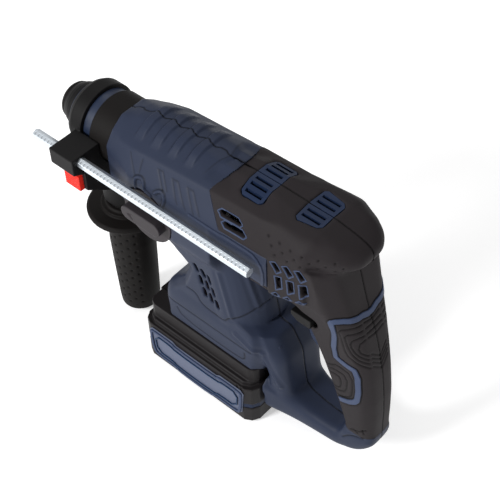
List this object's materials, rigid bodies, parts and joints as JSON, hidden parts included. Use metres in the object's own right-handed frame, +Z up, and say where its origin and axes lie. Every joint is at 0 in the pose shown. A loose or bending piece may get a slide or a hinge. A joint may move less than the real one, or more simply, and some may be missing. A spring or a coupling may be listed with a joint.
{
  "type": "rotary hammer",
  "caption": "Cordless rotary hammer with a D handle, side handle with depth rod, mode knob, quick chuck and slide-on battery.",
  "frame": {"origin": "centre of the battery's flat underside, on which the tool stands", "axes": "+X forward along the spindle towards the chuck, +Y to the tool's left side with the mode knob and the depth rod, +Z up from the battery to the spindle"},
  "size_m": [0.2986, 0.091, 0.2355],
  "materials": {
    "blue_shell": "fine moulded texture",
    "grey_rubber": "soft-touch overmould, satin",
    "blue_accent": "satin moulded",
    "black_rubber": "matte rubber",
    "black_plastic": "fine moulded texture",
    "red_plastic": "satin moulded",
    "zinc_steel": "bright zinc plated",
    "hard_steel": "ground steel",
    "cast_alloy": "die-cast, painted dark blue outside",
    "winding_copper": "varnished windings on laminations",
    "contact_brass": "plated contacts",
    "board_green": "solder mask",
    "cell_wrap": "shrink wrap"
  },
  "bodies": {
    "housing": {"housing_left": "blue_shell", "housing_right": "blue_shell", "cover_left": "grey_rubber", "cover_right": "grey_rubber", "vent_insert_front": "blue_accent", "vent_insert_rear": "blue_accent", "nose_ring": "black_rubber", "gear_case": "cast_alloy", "gear_case_lid": "cast_alloy", "motor_stator": "winding_copper", "motor_bearings": "hard_steel", "shaft_bearings": "hard_steel", "spindle_bearing": "hard_steel", "controller_board": "board_green", "switch_body": "black_plastic", "terminal_block": "black_plastic", "terminal_blades": "contact_brass", "housing_screws": "zinc_steel"},
    "rotor": {"motor_rotor": "hard_steel", "motor_fan": "black_plastic", "motor_pinion": "hard_steel"},
    "layshaft": {"layshaft": "hard_steel", "bevel_gear": "hard_steel"},
    "wobble": {"wobble_ring": "hard_steel"},
    "piston": {"piston": "hard_steel"},
    "striker": {"striker": "hard_steel"},
    "impact_bolt": {"impact_bolt": "hard_steel"},
    "spindle": {"spindle": "hard_steel", "spindle_gear": "hard_steel", "locking_balls": "hard_steel", "sleeve_spring": "hard_steel", "dust_cap": "black_rubber"},
    "sleeve": {"locking_sleeve": "black_plastic"},
    "mode_knob": {"mode_knob": "black_plastic", "mode_cam": "hard_steel"},
    "trigger": {"trigger": "blue_accent"},
    "direction_lever": {"direction_lever": "black_plastic"},
    "side_handle": {"handle_collar": "black_plastic", "handle_stud": "zinc_steel"},
    "grip": {"side_grip": "black_rubber", "grip_end_plug": "black_rubber"},
    "depth_rod": {"depth_rod": "zinc_steel"},
    "depth_button": {"depth_button": "red_plastic"},
    "battery": {"battery_lower": "black_plastic", "battery_band": "blue_accent", "battery_upper": "black_plastic", "battery_labels": "blue_accent", "battery_cells": "cell_wrap"},
    "battery_latch": {"battery_latch": "black_plastic"}
  },
  "joints": [
    {"name": "spindle_spin", "type": "hinge", "parent": "housing", "child": "spindle", "pos_m": [0.05, 0, 0.1965], "axis": [1, 0, 0], "continuous": true},
    {"name": "layshaft_spin", "type": "hinge", "parent": "housing", "child": "layshaft", "pos_m": [0.03, 0, 0.163], "axis": [1, 0, 0], "continuous": true},
    {"name": "motor_spin", "type": "hinge", "parent": "housing", "child": "rotor", "pos_m": [-0.0128, 0, 0.163], "axis": [0.2079, 0, 0.9781], "continuous": true},
    {"name": "wobble_rock", "type": "hinge", "parent": "housing", "child": "wobble", "pos_m": [0.016, 0, 0.163], "axis": [0, 1, 0], "range_deg": [-10.4, 10.4]},
    {"name": "piston_slide", "type": "slide", "parent": "housing", "child": "piston", "axis": [1, 0, 0], "range_m": [-0.0059, 0.0059]},
    {"name": "striker_slide", "type": "slide", "parent": "housing", "child": "striker", "axis": [1, 0, 0], "range_m": [0, 0.0155]},
    {"name": "bolt_slide", "type": "slide", "parent": "housing", "child": "impact_bolt", "axis": [1, 0, 0], "range_m": [0, 0.006]},
    {"name": "sleeve_slide", "type": "slide", "parent": "spindle", "child": "sleeve", "axis": [1, 0, 0], "range_m": [-0.006, 0], "stiffness_N_per_m": 900, "springref_m": 0.004},
    {"name": "mode_turn", "type": "hinge", "parent": "housing", "child": "mode_knob", "pos_m": [0.0355, 0.035, 0.173], "axis": [0, 1, 0], "range_deg": [-90, 45]},
    {"name": "trigger_pull", "type": "slide", "parent": "housing", "child": "trigger", "axis": [-1, 0, 0], "range_m": [0, 0.006], "stiffness_N_per_m": 900, "springref_m": -0.004},
    {"name": "direction_slide", "type": "slide", "parent": "housing", "child": "direction_lever", "axis": [0, 1, 0], "range_m": [-0.003, 0.003]},
    {"name": "handle_swivel", "type": "hinge", "parent": "housing", "child": "side_handle", "pos_m": [0.11, 0, 0.1965], "axis": [1, 0, 0], "range_deg": [0, 12]},
    {"name": "grip_twist", "type": "hinge", "parent": "side_handle", "child": "grip", "pos_m": [0.1, 0, 0.08], "axis": [0, 0, 1], "range_deg": [-180, 0]},
    {"name": "rod_slide", "type": "slide", "parent": "side_handle", "child": "depth_rod", "axis": [1, 0, 0], "range_m": [-0.002, 0.11]},
    {"name": "depth_button_press", "type": "slide", "parent": "side_handle", "child": "depth_button", "axis": [0, -1, 0], "range_m": [0, 0.003], "stiffness_N_per_m": 700, "springref_m": -0.003},
    {"name": "battery_slide", "type": "slide", "parent": "housing", "child": "battery", "axis": [1, 0, 0], "range_m": [0, 0.02]},
    {"name": "battery_latch_press", "type": "slide", "parent": "battery", "child": "battery_latch", "axis": [-1, 0, 0], "range_m": [0, 0.003], "stiffness_N_per_m": 700, "springref_m": -0.003}
  ],
  "couplings": [
    {"joint": "layshaft_spin", "follows": "spindle_spin", "ratio": -2.6667},
    {"joint": "motor_spin", "follows": "spindle_spin", "ratio": -6.2222},
    {"joint": "wobble_rock", "follows": "piston_slide", "rad_per_m": 29.85}
  ]
}
